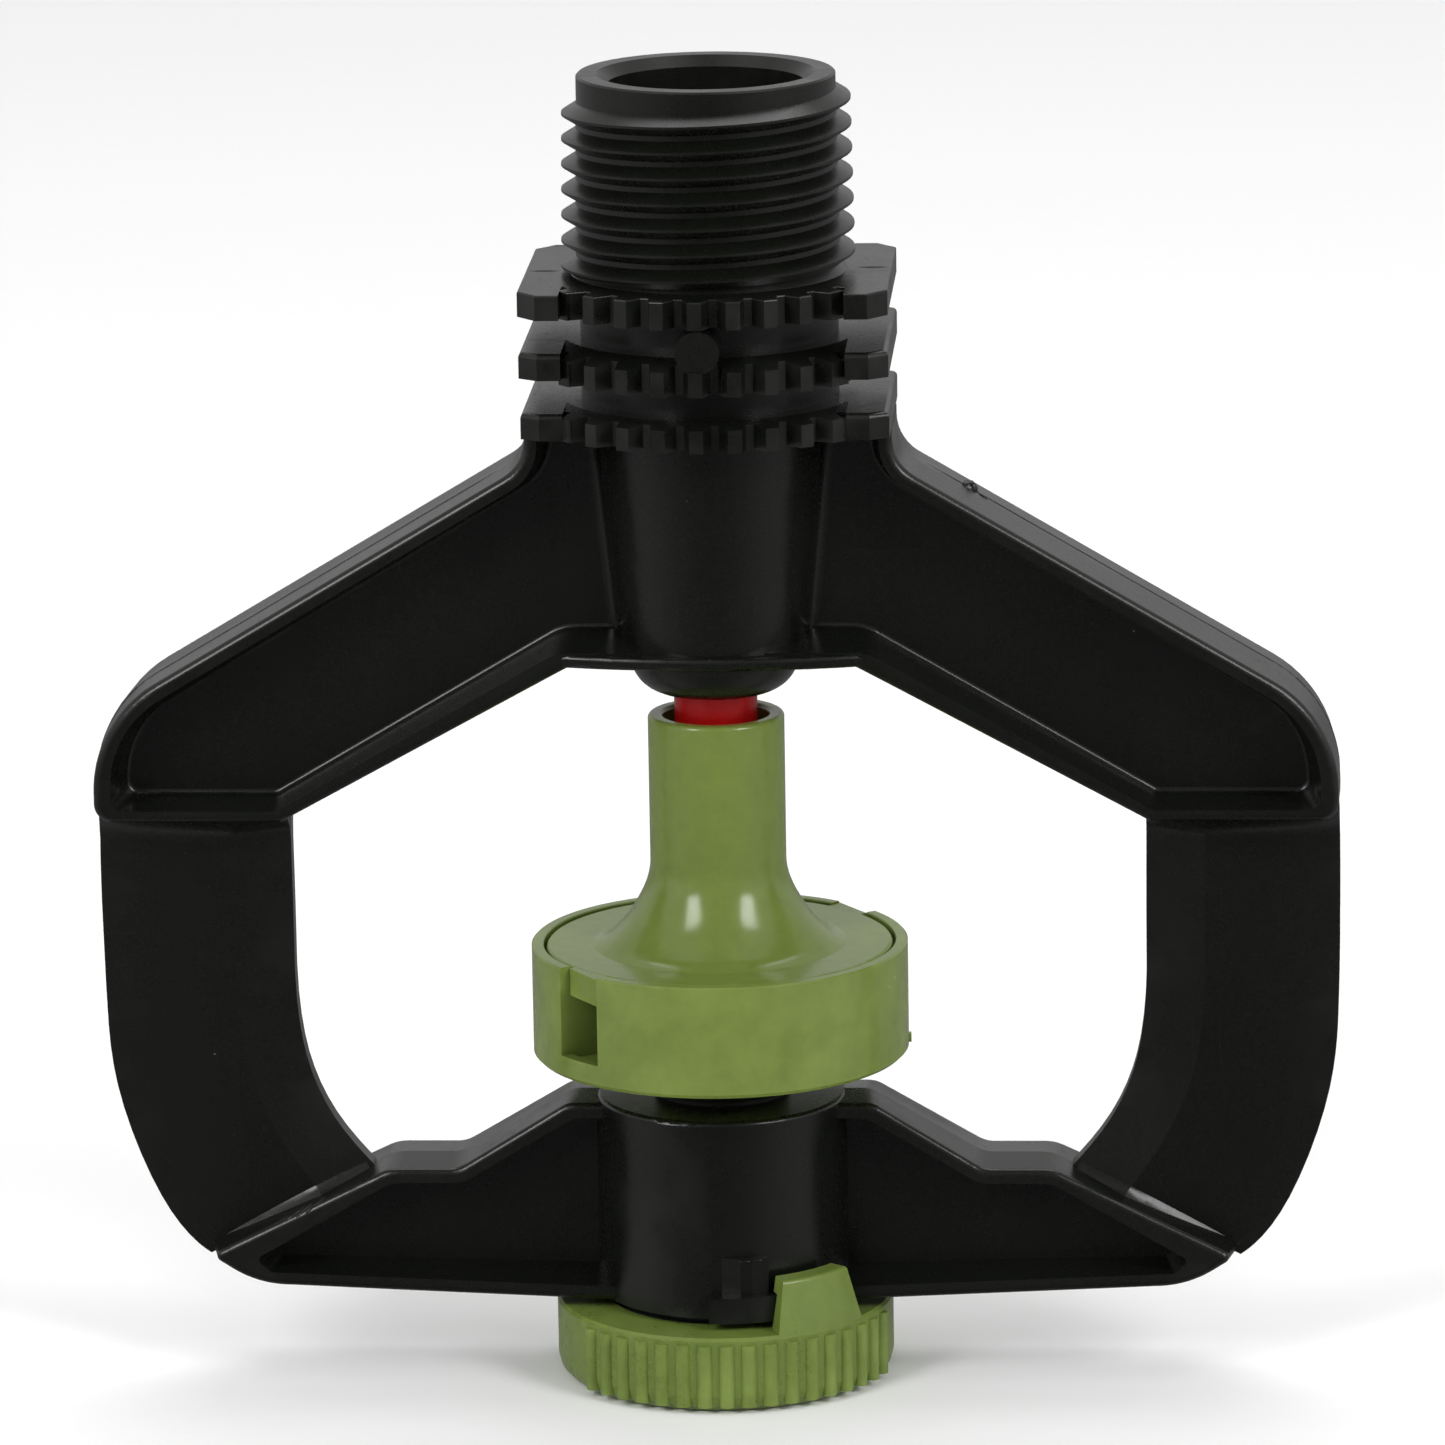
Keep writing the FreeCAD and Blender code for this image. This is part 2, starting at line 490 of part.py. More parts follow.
cup = rev([(bush_r, rotor_boss_low), (rotor_boss_r - 0.2, rotor_boss_low), (rotor_boss_r, rotor_boss_low + 0.2), (rotor_boss_r, cup_low),
           (cup_r - 0.3, cup_low), (cup_r, cup_low + 0.3), (cup_r, cup_top - 0.12), (cup_r - 0.12, cup_top), (cup_in + 0.08, cup_top),
           (cup_in, cup_top - 0.08), (cup_in, cup_floor), (4.2, cup_floor), (4.2, 27.0), (bush_r, 27.0)])
for turn in (0, 180):
    cup = cup.cut(sector(cup_in - 1.2, cup_r + 2, win_a0 + turn, win_a1 + turn, win_low, cup_top + 1))
    # ledge inside the rim that carries the lid
    seat = sector(cup_in - 0.45, cup_in + 0.3, win_a1 + 14 + turn, win_a0 + 180 - 14 + turn, disc_low - 0.6, disc_low - 0.02)
    cup = cup.fuse(seat)
# the radial stop that the ball strikes stands at the left side of one window
anvil = sector(7.75, cup_in + 0.3, win_a0 - 4.8, win_a0, cup_floor + race_t + 0.03, disc_low - 0.1)
anvil = anvil.fuse(sector(6.7, 7.82, win_a0 - 4.8, win_a0, cup_floor - 0.2, cup_floor + race_t + 1.3))
cup = cup.fuse(anvil)
nub = Part.makeCylinder(0.38, 1.02, pol(cup_r - 0.84, 93.0, 24.55), pol(1, 93.0))
cup = cup.fuse(nub)
save("rotor_cup", cup)

te = [line(V(tube_bore, 0, disc_low), V(tube_bore, 0, tube_top - 0.35)),
      Part.Arc(V(tube_bore, 0, tube_top - 0.35), V(tube_bore + 0.12, 0, tube_top - 0.08), V(tube_bore + 0.38, 0, tube_top)).toShape(),
      line(V(tube_bore + 0.38, 0, tube_top), V(tube_r - 0.35, 0, tube_top)),
      Part.Arc(V(tube_r - 0.35, 0, tube_top), V(tube_r - 0.10, 0, tube_top - 0.10), V(tube_r, 0, tube_top - 0.35)).toShape(),
      line(V(tube_r, 0, tube_top - 0.35), V(tube_r, 0, 38.2))]
bs = Part.BSplineCurve()
bs.interpolate([V(r, 0, z) for r, z in ((tube_r, 38.2), (5.04, 37.2), (5.46, 36.0), (5.99, 35.0), (6.83, 33.75), (7.9, 32.65), (9.2, disc_top))],
               InitialTangent=V(0, 0, -1), FinalTangent=V(1.0, 0, -0.30))
te.append(bs.toShape())
te += [line(V(9.2, 0, disc_top), V(disc_r - 0.3, 0, disc_top)),
       Part.Arc(V(disc_r - 0.3, 0, disc_top), V(disc_r - 0.088, 0, disc_top - 0.088), V(disc_r, 0, disc_top - 0.3)).toShape(),
       line(V(disc_r, 0, disc_top - 0.3), V(disc_r, 0, disc_low)), line(V(disc_r, 0, disc_low), V(tube_bore, 0, disc_low))]
funnel = rev_wire(te)
for turn in (0, 180):
    # tab that closes the top of each notch: its flat face starts at the inside of the cup
    # wall on one side and is flush with the outside on the other
    tab = [pol(disc_r - 1.0, win_a0 + 0.8 + turn, disc_low), pol(12.88, win_a0 + 0.8 + turn, disc_low),
           pol(13.58, win_a1 - 0.2 + turn, disc_low), pol(disc_r - 1.0, win_a1 - 0.2 + turn, disc_low)]
    funnel = funnel.fuse(Part.Face(Part.makePolygon(tab + [tab[0]])).extrude(V(0, 0, disc_top - 0.02 - disc_low)))
save("rotor_funnel", funnel)

defl = rev([(0, 28.1), (1.9, 28.1), (1.9, 27.0), (4.2, 27.0), (4.2, 27.5), (3.1, 28.1), (1.7, 29.3), (0.45, 31.4), (0, 31.6)])
for i in range(4):
    vane = Part.makeBox(4.4, 0.9, 2.6, V(3.2, -0.45, 27.2))
    vane.rotate(V(3.2, 0, 0), V(0, 0, 1), 28)
    vane.rotate(O, V(0, 0, 1), 20 + 90 * i)
    defl = defl.fuse(vane)
save("jet_deflector", defl)

ball_a = radians(-65)
ball = Part.makeSphere(ball_r, V(ball_path * cos(ball_a), ball_path * sin(ball_a), cup_floor + race_t + ball_r + 0.02))
race = tube(7.9, cup_in - 0.05, cup_floor, cup_floor + race_t)
save("ball_race_ring", race)
save("drive_ball", ball)

# ------------------------------------------------------------ bottom cap with its plug, bush and seal
# the cap is hollow: a thin floor, a skirt with the ribs, and a socket ring for the carrier
cap = rev([(0, 0), (cap_r - 1.35, 0), (cap_r - 0.62, 0.16), (cap_r - 0.18, 0.62), (cap_r, 1.3), (cap_r, cap_h - 0.22), (cap_r - 0.22, cap_h),
           (carrier_r, cap_h), (carrier_r, 2.4), (0, 2.4)])
ribs = []
for turn in (0, 180):
    for i in range(rib_n):
        a = rib_centre + (i - (rib_n - 1) / 2.0) * rib_pitch + turn
        c = pol(cap_r - 0.16, a, 0.55)
        rib = Part.makeCylinder(0.55, cap_h - 0.5 - 0.55, c)
        ribs.append(rib.common(Part.makeCylinder(cap_r + rib_h, 6, V(0, 0, 0.3))))
cap = cap.fuse(ribs)
for turn in (0, 180):
    lo = lug_half_low; hi = lug_half_top
    L = lug_centre + turn
    # hooked lug: wide at the foot, leaning in towards the top
    foot = [pol(10.6, L - lo, cap_h - 0.3), pol(12.25, L - lo, cap_h - 0.3), pol(12.25, L + lo, cap_h - 0.3), pol(10.6, L + lo, cap_h - 0.3)]
    def ring4(r0, r1, h, z):
        return Part.Wire([Part.Arc(pol(r1, L - h, z), pol(r1, L, z), pol(r1, L + h, z)).toShape(),
                          line(pol(r1, L + h, z), pol(r0, L + h, z)),
                          Part.Arc(pol(r0, L + h, z), pol(r0, L, z), pol(r0, L - h, z)).toShape(),
                          line(pol(r0, L - h, z), pol(r1, L - h, z))])
    lug = Part.makeLoft([ring4(9.9, 12.22, lo, cap_h - 0.3), ring4(9.9, 11.35, hi, lug_top)], True, True)
    lug = lug.cut(sector(9.0, 10.6, L - 30, L + 30, cap_h - 1, ledge_top + 0.15))
    lug = try_fillet(lug, 0.3, lambda e: all(p.z > lug_top - 0.01 for p in ends(e)) and
                     all(sqrt(p.x ** 2 + p.y ** 2) > 11.0 for p in ends(e)))
    cap = cap.fuse(lug)
save("bottom_cap", cap)
carrier = rev([(0, 2.4), (carrier_r, 2.4), (carrier_r, cap_h - 0.4), (plug_r, cap_h - 0.4), (plug_r, 10.0), (5.95, 10.0), (5.95, 11.3),
               (plug_r, 11.3), (plug_r, plug_top - 0.3), (plug_r - 0.3, plug_top), (5.0, plug_top), (5.0, 13.0),
               (3.0, 13.0), (3.0, 9.0), (0, 9.0)])
save("bearing_carrier", carrier)
lbush = tube(sp_r + bearing_gap, 3.0, 9.0, 13.0)
save("lower_bearing_bush", lbush)
save("cap_o_ring", Part.makeTorus(6.45, 0.5, V(0, 0, 10.65)))
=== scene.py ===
# Blender looks for the ball-driven bridge sprinkler. Metres, +Z up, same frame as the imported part.
import bpy, bmesh, json, math
from mathutils import Vector, Matrix
from mathutils.bvhtree import BVHTree


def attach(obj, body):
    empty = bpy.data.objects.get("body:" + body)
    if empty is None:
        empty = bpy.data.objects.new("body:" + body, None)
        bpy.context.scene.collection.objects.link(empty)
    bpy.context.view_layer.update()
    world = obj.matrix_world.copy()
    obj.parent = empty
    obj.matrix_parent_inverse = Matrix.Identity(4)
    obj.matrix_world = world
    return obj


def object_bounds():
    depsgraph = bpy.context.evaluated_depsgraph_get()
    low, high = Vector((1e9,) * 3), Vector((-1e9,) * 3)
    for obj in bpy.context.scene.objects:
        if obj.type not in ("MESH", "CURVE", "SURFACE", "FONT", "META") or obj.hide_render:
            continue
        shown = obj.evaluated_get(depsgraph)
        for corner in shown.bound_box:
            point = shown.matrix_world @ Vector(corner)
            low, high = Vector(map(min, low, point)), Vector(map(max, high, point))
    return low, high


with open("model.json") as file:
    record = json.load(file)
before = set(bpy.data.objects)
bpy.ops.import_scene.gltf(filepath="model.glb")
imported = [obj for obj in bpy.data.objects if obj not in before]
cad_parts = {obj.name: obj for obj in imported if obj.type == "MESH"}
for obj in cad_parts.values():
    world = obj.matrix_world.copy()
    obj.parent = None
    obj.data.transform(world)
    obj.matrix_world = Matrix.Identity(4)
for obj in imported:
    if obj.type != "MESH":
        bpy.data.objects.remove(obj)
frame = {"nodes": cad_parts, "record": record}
box_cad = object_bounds()
nodes = frame["nodes"]
MM = 0.001


# ------------------------------------------------------------------ material helpers
class Mat:
    """Small node-graph builder around one Principled shader."""

    def __init__(self, name):
        self.m = bpy.data.materials.new(name)
        self.m.use_nodes = True
        self.t = self.m.node_tree
        for n in list(self.t.nodes):
            self.t.nodes.remove(n)
        self.out = self.t.nodes.new("ShaderNodeOutputMaterial")
        self.b = self.t.nodes.new("ShaderNodeBsdfPrincipled")
        self.link(self.b.outputs["BSDF"], self.out.inputs["Surface"])
        self.tc = self.t.nodes.new("ShaderNodeTexCoord")

    def link(self, a, b):
        self.t.links.new(a, b)

    def set(self, **kw):
        for k, v in kw.items():
            self.b.inputs[k.replace("_", " ")].default_value = v

    def noise(self, scale, detail=4.0, rough=0.55, stretch=(1, 1, 1), distortion=0.0):
        mp = self.t.nodes.new("ShaderNodeMapping")
        mp.inputs["Scale"].default_value = stretch
        self.link(self.tc.outputs["Object"], mp.inputs["Vector"])
        n = self.t.nodes.new("ShaderNodeTexNoise")
        n.inputs["Scale"].default_value = scale
        n.inputs["Detail"].default_value = detail
        n.inputs["Roughness"].default_value = rough
        n.inputs["Distortion"].default_value = distortion
        self.link(mp.outputs["Vector"], n.inputs["Vector"])
        return n.outputs["Fac"]

    def voronoi(self, scale, stretch=(1, 1, 1), feature="F1"):
        mp = self.t.nodes.new("ShaderNodeMapping")
        mp.inputs["Scale"].default_value = stretch
        self.link(self.tc.outputs["Object"], mp.inputs["Vector"])
        n = self.t.nodes.new("ShaderNodeTexVoronoi")
        n.feature = feature
        n.inputs["Scale"].default_value = scale
        self.link(mp.outputs["Vector"], n.inputs["Vector"])
        return n.outputs["Distance"]

    def specks(self, scale, size, share):
        """Sparse small round marks: 1 inside a mark, 0 elsewhere."""
        n = self.t.nodes.new("ShaderNodeTexVoronoi")
        n.inputs["Scale"].default_value = scale
        n.inputs["Randomness"].default_value = 1.0
        self.link(self.tc.outputs["Object"], n.inputs["Vector"])
        dot = self.range(n.outputs["Distance"], 1.0, 0.0, size * 0.5, size)
        s = self.t.nodes.new("ShaderNodeSeparateColor")
        self.link(n.outputs["Color"], s.inputs[0])
        pick = self.range(s.outputs[0], 0.0, 1.0, 1.0 - share, 1.0 - share + 0.01)
        return self.math("MULTIPLY", dot, pick)

    def ramp(self, fac, stops):
        r = self.t.nodes.new("ShaderNodeValToRGB")
        e = r.color_ramp.elements
        while len(e) > 1:
            e.remove(e[-1])
        e[0].position, c = stops[0][0], stops[0][1]
        e[0].color = self._c(c)
        for p, c in stops[1:]:
            x = e.new(p)
            x.color = self._c(c)
        self.link(fac, r.inputs["Fac"])
        return r.outputs["Color"]

    @staticmethod
    def _c(c):
        return (c, c, c, 1) if isinstance(c, (int, float)) else (c[0], c[1], c[2], 1)

    def range(self, fac, lo, hi, a=0.25, b=0.75):
        r = self.t.nodes.new("ShaderNodeMapRange")
        r.inputs["From Min"].default_value = a
        r.inputs["From Max"].default_value = b
        r.inputs["To Min"].default_value = lo
        r.inputs["To Max"].default_value = hi
        self.link(fac, r.inputs["Value"])
        return r.outputs["Result"]

    def math(self, op, a, b=None):
        n = self.t.nodes.new("ShaderNodeMath")
        n.operation = op
        for i, v in enumerate((a, b)):
            if v is None:
                continue
            if isinstance(v, (int, float)):
                n.inputs[i].default_value = v
            else:
                self.link(v, n.inputs[i])
        return n.outputs[0]

    def mix(self, fac, a, b, kind="MIX"):
        n = self.t.nodes.new("ShaderNodeMix")
        n.data_type = "RGBA"
        n.blend_type = kind
        for sock, v in ((n.inputs[0], fac), (n.inputs[6], a), (n.inputs[7], b)):
            if isinstance(v, (int, float)):
                sock.default_value = v
            elif isinstance(v, tuple):
                sock.default_value = self._c(v)
            else:
                self.link(v, sock)
        return n.outputs[2]

    def edge(self, lo=0.48, hi=0.60):
        """Wear mask that is 1 on outer edges: the pointiness of the mesh."""
        g = self.t.nodes.new("ShaderNodeNewGeometry")
        return self.range(g.outputs["Pointiness"], 0.0, 1.0, lo, hi)

    def up(self):
        g = self.t.nodes.new("ShaderNodeNewGeometry")
        s = self.t.nodes.new("ShaderNodeSeparateXYZ")
        self.link(g.outputs["Normal"], s.inputs[0])
        return s.outputs["Z"]

    def bump(self, height, strength, dist, normal=None):
        n = self.t.nodes.new("ShaderNodeBump")
        n.inputs["Strength"].default_value = strength
        n.inputs["Distance"].default_value = dist
        self.link(height, n.inputs["Height"])
        if normal is not None:
            self.link(normal, n.inputs["Normal"])
        self.link(n.outputs["Normal"], self.b.inputs["Normal"])
        return n.outputs["Normal"]


def plastic(name, dark, mid, light, rough, coat=0.0, coat_rough=0.1, grain=0.012, flow=0.5, sss=0.0, spec=0.5,
            dust=0.0, drift=0.05, wave=0.25, scratch=0.0):
    """Moulded plastic: soft colour drift, flow marks, fine skin texture, rubbed edges, specks of dust."""
    m = Mat(name)
    big = m.noise(60, 3, 0.5, distortion=0.6)
    small = m.noise(900, 5, 0.6)
    col = m.ramp(big, [(0.28, dark), (0.52, mid), (0.78, light)])
    spec_col = m.ramp(small, [(0.35, 0.93), (0.7, 1.05)])
    col = m.mix(1.0, col, spec_col, "MULTIPLY")
    wear = m.math("MULTIPLY", m.edge(0.515, 0.60), m.range(m.noise(260, 4), 0.0, 1.0, 0.42, 0.66))
    col = m.mix(m.math("MULTIPLY", wear, 0.30), col, tuple(min(1.0, c * 1.8 + 0.012) for c in light))
    if dust:
        d1 = m.math("ADD", m.specks(330, 0.030, 0.16), m.specks(760, 0.035, 0.05))
        col = m.mix(m.math("MULTIPLY", d1, dust), col, (0.16, 0.165, 0.15))
    m.link(col, m.b.inputs["Base Color"])
    r1 = m.range(m.noise(140, 5, 0.6, (1, 1, flow)), rough - drift * 0.8, rough + drift)
    r2 = m.range(m.noise(2300, 3, 0.5), -0.02, 0.025)
    r = m.math("ADD", r1, r2)
    if scratch:
        # fine rubbed streaks, crossing at two slants
        s1 = m.range(m.noise(420, 2, 0.5, (7.0, 1.0, 0.35), 0.3), 0.0, 1.0, 0.66, 0.70)
        s2 = m.range(m.noise(380, 2, 0.5, (0.4, 1.0, 8.0), 0.4), 0.0, 1.0, 0.67, 0.71)
        r = m.math("ADD", r, m.math("MULTIPLY", m.math("ADD", s1, s2), scratch))
    r = m.math("ADD", r, m.math("MULTIPLY", wear, 0.10))
    m.link(r, m.b.inputs["Roughness"])
    h = m.math("ADD", m.math("MULTIPLY", m.noise(2600, 3, 0.55), 0.6), m.math("MULTIPLY", m.noise(420, 4, 0.5), wave))
    m.bump(h, 0.35, grain * MM)
    m.set(Coat_Weight=coat, Coat_Roughness=coat_rough, Specular_IOR_Level=spec, IOR=1.49)
    if sss:
        m.set(Subsurface_Weight=sss, Subsurface_Scale=0.0015)
        m.b.inputs["Subsurface Radius"].default_value = (0.9, 1.0, 0.35)
    return m.m


def metal(name, base, rough, aniso_dir=None, line=0.004):
    m = Mat(name)
    lines = m.noise(900, 3, 0.6, (1, 1, 14) if aniso_dir == "turned" else (6, 6, 6))
    col = m.ramp(lines, [(0.3, tuple(c * 0.86 for c in base)), (0.7, base)])
    spot = m.ramp(m.noise(300, 4), [(0.35, 0.82), (0.6, 1.0)])
    m.link(m.mix(1.0, col, spot, "MULTIPLY"), m.b.inputs["Base Color"])
    m.link(m.range(lines, rough - 0.06, rough + 0.10), m.b.inputs["Roughness"])
    m.bump(lines, 0.3, line * MM)
    m.set(Metallic=1.0)
    return m.m


BLACK = plastic("black_plastic", (0.0038, 0.0046, 0.0032), (0.0046, 0.0055, 0.0038), (0.0056, 0.0065, 0.0046), 0.27, grain=0.005,
                dust=0.45, drift=0.035, wave=0.22, scratch=0.04)
GREEN = plastic("rotor_green", (0.142, 0.192, 0.040), (0.150, 0.202, 0.042), (0.158, 0.213, 0.045), 0.19, grain=0.004, sss=0.12,
                drift=0.025, wave=0.15)
CAPGREEN = plastic("cap_green", (0.134, 0.194, 0.036), (0.148, 0.209, 0.040), (0.161, 0.223, 0.045), 0.28, grain=0.006, sss=0.12,
                   drift=0.05, wave=0.2)
RED = plastic("red_plastic", (0.33, 0.003, 0.004), (0.38, 0.004, 0.005), (0.42, 0.005, 0.006), 0.26, grain=0.004, sss=0.05, spec=0.22,
              drift=0.03)
CARRIER = plastic("carrier_plastic", (0.035, 0.038, 0.042), (0.045, 0.048, 0.052), (0.055, 0.06, 0.066), 0.42)
ACETAL = plastic("white_acetal", (0.66, 0.65, 0.60), (0.74, 0.73, 0.69), (0.80, 0.79, 0.76), 0.34, coat=0.1, sss=0.1)
PTFE = plastic("ptfe", (0.74, 0.74, 0.73), (0.80, 0.80, 0.79), (0.84, 0.84, 0.83), 0.40, sss=0.1)
RUBBER = plastic("rubber", (0.010, 0.010, 0.010), (0.014, 0.014, 0.014), (0.02, 0.02, 0.02), 0.58, grain=0.02)
STEEL = metal("stainless", (0.60, 0.59, 0.57), 0.24, "turned")
SPRING = metal("spring_steel", (0.42, 0.42, 0.42), 0.34)
BALL = metal("ball_steel", (0.66, 0.66, 0.66), 0.12, line=0.001)

by_slot = {"black_plastic": BLACK, "red_plastic": RED, "rotor_green": GREEN, "cap_green": CAPGREEN, "deflector_green": GREEN,
           "carrier_plastic": CARRIER, "white_acetal": ACETAL, "bush_acetal": ACETAL, "ptfe": PTFE, "stainless": STEEL,
           "spring_steel": SPRING, "ball_steel": BALL, "rubber": RUBBER}
for sp in frame["record"]["subparts"]:
    o = nodes[sp["node"]]
    o.data.materials.clear()
    o.data.materials.append(by_slot[sp["material_slot"]])
    for p in o.data.polygons:
        p.material_index = 0

# ------------------------------------------------------------------ moulding marks, made as mesh and carried by the bridge
def bvh_of(ob):
    me = ob.data
    mw = ob.matrix_world
    return BVHTree.FromPolygons([mw @ v.co for v in me.vertices], [tuple(p.vertices) for p in me.polygons])


bridge_tree = bvh_of(nodes["bridge_frame"])


def hit(origin_mm, direction):
    loc, nor, _, _ = bridge_tree.ray_cast(Vector(origin_mm) * MM, Vector(direction).normalized(), 0.2)
    return (loc, nor) if loc is not None else (None, None)


def add_mesh(name, verts, faces, mat, smooth=True):
    me = bpy.data.meshes.new(name)
    me.from_pydata([tuple(v) for v in verts], [], faces)
    me.validate()
    bm = bmesh.new()
    bm.from_mesh(me)
    bmesh.ops.recalc_face_normals(bm, faces=bm.faces)
    bm.to_mesh(me)
    bm.free()
    ob = bpy.data.objects.new(name, me)
    bpy.context.scene.collection.objects.link(ob)
    me.materials.append(mat)
    for p in me.polygons:
        p.use_smooth = smooth
    return ob


def bead(name, path, width, height, body="bridge", mat=None, taper=3):
    """Thin raised line along (point, normal) pairs that lie on a surface; closed mesh with five sides."""
    pts = [p for p in path if p[0] is not None]
    if len(pts) < 3:
        return None
    n = len(pts)
    verts, faces = [], []
    for i, (p, nor) in enumerate(pts):
        a, b = pts[max(0, i - 1)][0], pts[min(n - 1, i + 1)][0]
        t = (b - a).normalized()
        side_v = t.cross(nor).normalized()
        k = min(1.0, (min(i, n - 1 - i) + 0.35) / taper)
        w_, h_ = width * MM * (0.45 + 0.55 * k) * 0.5, height * MM * k
        for sx, sz in ((-1.0, -0.35), (-0.62, 0.75), (0.0, 1.0), (0.62, 0.75), (1.0, -0.35)):
            verts.append(p + side_v * (sx * w_) + nor * (sz * h_ if sz > 0 else sz * 0.06 * MM))
    for i in range(n - 1):
        for j in range(5):
            a, b = i * 5 + j, i * 5 + (j + 1) % 5
            faces.append((a, b, b + 5, a + 5))
    faces.append(tuple(range(5)))
    faces.append(tuple((n - 1) * 5 + j for j in range(5)))
    # the line is flush where the part is at its widest
    verts = [Vector([min(max(c, lo), hi) for c, lo, hi in zip(v, box_cad[0], box_cad[1])]) for v in verts]
    ob = add_mesh(name, verts, faces, mat or BLACK)
    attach(ob, body)
    return ob


def wob(i, k=1.0):
    return math.sin(i * 2.39 + k) * 0.5 + math.sin(i * 0.83 + 2.1 * k) * 0.5


# parting line over the upper arms: down the shoulder, along the slope, round the corner
for sgn, y_line, tag in ((-1, -1.2, "left"), (1, 0.9, "right")):
    path = []
    for i in range(40):
        x = 15.3 + i * (42.6 - 15.3) / 39
        path.append(hit((sgn * x, y_line + 0.03 * wob(i), 90), (0, 0, -1)))
    for i in range(14):
        z = 51.2 - i * (51.2 - 43.6) / 13
        path.append(hit((sgn * 60, y_line + 0.03 * wob(i, 2.0), z), (-sgn, 0, 0)))
    bead("parting_line_arm_" + tag, path, 0.17, 0.055)
    # the same line over the top flange wing
    path = [hit((sgn * (10.6 + i * 0.24), y_line * 0.4 + 0.02 * wob(i), 83.5), (0, 0, -1)) for i in range(10)]
    bead("parting_line_wing_" + tag, path, 0.15, 0.05)
    # down the outer edge of the leg
    path = [hit((sgn * 60, 0.25 + 0.02 * wob(i), 40.5 - i * 0.75), (-sgn, 0, 0)) for i in range(38)]
    bead("parting_line_leg_" + tag, path, 0.16, 0.05)

# trimmed gate nub on the right arm, on the parting line
nub_c, nub_n = hit((18.35, 1.0, 90), (0, 0, -1))
verts, faces = [], []
rings = ((0.62, -0.10), (0.60, 0.04), (0.50, 0.20), (0.42, 0.33), (0.30, 0.43), (0.12, 0.49))
SEG = 20
t1 = Vector((0, 1, 0))
t1 = (t1 - nub_n * t1.dot(nub_n)).normalized()
t2 = nub_n.cross(t1)
for k_, (r_, h_) in enumerate(rings):
    for s_ in range(SEG):
        a_ = 2 * math.pi * s_ / SEG
        rr = r_ * (1 + 0.16 * math.sin(3 * a_ + k_ * 0.7) + 0.10 * math.sin(5 * a_ + 1.3 * k_)) * (1.0 if k_ else 1.12)
        verts.append(nub_c + (t1 * math.cos(a_) * rr * 0.86 + t2 * math.sin(a_) * rr * 1.10) * MM
                     + nub_n * (h_ + 0.05 * math.sin(2 * a_ + 0.9) * (k_ > 1)) * MM)
for k_ in range(len(rings) - 1):
    for s_ in range(SEG):
        a_, b_ = k_ * SEG + s_, k_ * SEG + (s_ + 1) % SEG
        faces.append((a_, b_, b_ + SEG, a_ + SEG))
faces.append(tuple(range(SEG)))
faces.append(tuple((len(rings) - 1) * SEG + s_ for s_ in range(SEG)))
nub = add_mesh("gate_nub", verts, faces, BLACK)
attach(nub, "bridge")
# a small torn tail beside the nub
bead("gate_nub_tail", [hit((18.95 + i * 0.09, 0.75 - i * 0.07, 90), (0, 0, -1)) for i in range(9)], 0.26, 0.13)

# scuffed flow marks across the front edge of the left lower arm
for q, (xa, xb, lo, hi, wd) in enumerate(((-31.6, -30.3, -0.15, 0.50, 0.26), (-30.9, -29.7, -0.30, 0.45, 0.22),
                                          (-30.2, -29.2, -0.35, 0.35, 0.24), (-29.4, -28.8, -0.10, 0.55, 0.18),
                                          (-32.6, -31.5, -0.05, 0.22, 0.16))):
    path = []
    for i in range(12):
        u = i / 11.0
        x = xa + (xb - xa) * u
        z = 15.82 - (abs(x) - 24.1) * 0.4976 + lo + (hi - lo) * u
        path.append(hit((x, -12.0, z + 4.0 + 0.04 * wob(i, q)), (0, 1.0, -0.5)))
    bead("flow_mark_%d" % (q + 1), path, wd, 0.075)
# a fine curl of flash on the snap ramp of the lower hub
bead("ramp_flash", [hit((1.55 + i * 0.11, -16.0, 10.62 + 0.05 * wob(i)), (0, 1, 0)) for i in range(9)], 0.16, 0.09)
bead("ramp_flash_2", [hit((2.75 + i * 0.09, -16.0, 10.66 + 0.03 * wob(i)), (0, 1, 0)) for i in range(7)], 0.14, 0.07)

# ------------------------------------------------------------------ stage: floor, light, camera
sc = bpy.context.scene


def stage_plane(name, verts, mat):
    me = bpy.data.meshes.new(name)
    me.from_pydata(verts, [], [tuple(range(len(verts)))])
    ob = bpy.data.objects.new(name, me)
    sc.collection.objects.link(ob)
    me.materials.append(mat)
    return ob


fm = Mat("floor_pale")
fm.link(fm.ramp(fm.noise(300, 3), [(0.3, (0.955, 0.955, 0.955)), (0.7, (0.965, 0.965, 0.965))]), fm.b.inputs["Base Color"])
fm.set(Roughness=0.7)
floor = stage_plane("floor", [(-4, -4, 0), (4, -4, 0), (4, 4, 0), (-4, 4, 0)], fm.m)
floor.visible_glossy = False

# pale room: a brighter band round the horizon, a darker ceiling, dim below the floor
w = bpy.data.worlds.new("studio")
w.use_nodes = True
wt = w.node_tree
bg = wt.nodes["Background"]
wc = wt.nodes.new("ShaderNodeTexCoord")
ws = wt.nodes.new("ShaderNodeSeparateXYZ")
wt.links.new(wc.outputs["Generated"], ws.inputs[0])
wr = wt.nodes.new("ShaderNodeMapRange")
wr.inputs["From Min"].default_value = -1.0
wr.inputs["From Max"].default_value = 1.0
wt.links.new(ws.outputs["Z"], wr.inputs["Value"])
wramp = wt.nodes.new("ShaderNodeValToRGB")
el = wramp.color_ramp.elements
el[0].position, el[0].color = 0.0, (0.15, 0.15, 0.15, 1)
el[1].position, el[1].color = 1.0, (0.30, 0.30, 0.30, 1)
